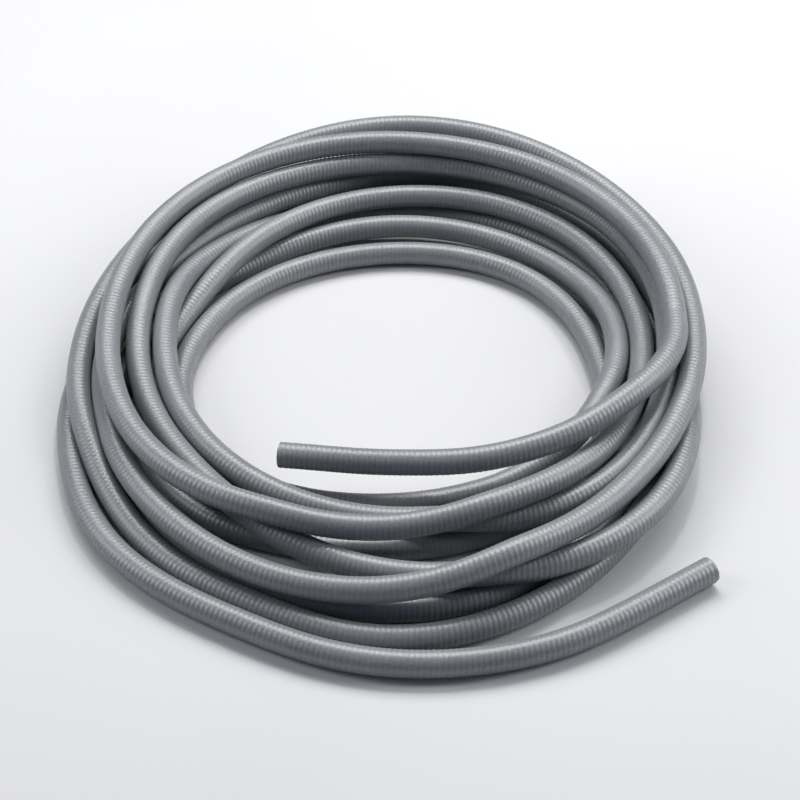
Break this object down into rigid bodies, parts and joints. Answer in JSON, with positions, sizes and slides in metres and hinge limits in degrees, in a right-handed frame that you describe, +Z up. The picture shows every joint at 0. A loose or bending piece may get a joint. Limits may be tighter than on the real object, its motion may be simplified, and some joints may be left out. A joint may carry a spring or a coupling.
{
  "type": "coiled discharge hose",
  "caption": "Loose flat coil of spiral-reinforced grey discharge hose for a waste tank, with two plain cut ends.",
  "frame": {"origin": "middle of the whole box, on the floor the coil lies on", "axes": "+Z up through the coil's eye, -Y towards the side where both cut ends lie, +X to the right seen from there"},
  "size_m": [0.724, 0.7894, 0.1001],
  "materials": {
    "cover": "satin soft grey PVC, finely ribbed",
    "helix": "rigid pale PVC",
    "liner": "smooth dark grey soft PVC"
  },
  "bodies": {
    "root": {"coil": "cover", "lower_run": "cover", "upper_run": "cover", "lower_cover": "cover", "lower_helix": "helix", "lower_liner": "liner", "upper_cover": "cover", "upper_helix": "helix", "upper_liner": "liner"}
  },
  "joints": []
}
